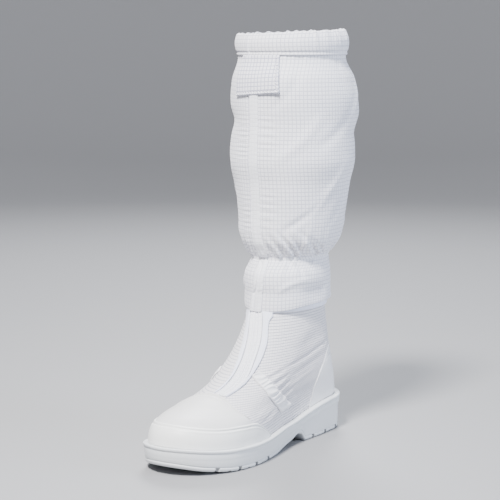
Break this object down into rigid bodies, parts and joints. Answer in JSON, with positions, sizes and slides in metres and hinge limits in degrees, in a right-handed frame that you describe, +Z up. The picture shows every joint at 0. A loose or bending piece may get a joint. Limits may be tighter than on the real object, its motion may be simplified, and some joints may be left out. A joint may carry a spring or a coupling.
{
  "type": "cleanroom boot",
  "caption": "Tall cleanroom boot for the left foot: moulded sole with a heel, smooth toe guard, grid-fabric upper and gathered fabric shaft with a front placket.",
  "frame": {"origin": "on the floor under the middle of the boot's box", "axes": "+X to the toe, +Y to the wearer's left (the outer side), +Z up"},
  "size_m": [0.3066, 0.13, 0.4344],
  "materials": {
    "sole": "smooth moulded, soft gloss",
    "lining": "woven insole cover",
    "grid_fabric": "close-woven with a fine grey grid",
    "coated_leather": "smooth coated, soft gloss",
    "elastic": "ribbed elastic",
    "binding_tape": "smooth folded tape"
  },
  "bodies": {
    "root": {"outsole": "sole", "insole": "lining", "upper": "grid_fabric", "toe_guard": "coated_leather", "vamp": "coated_leather", "heel_counter": "coated_leather", "side_gusset_outer": "elastic", "side_gusset_inner": "elastic", "instep_placket": "grid_fabric", "collar_binding": "binding_tape", "shaft": "grid_fabric", "shaft_placket": "grid_fabric", "top_cuff": "grid_fabric", "closure_flap": "grid_fabric"}
  },
  "joints": []
}
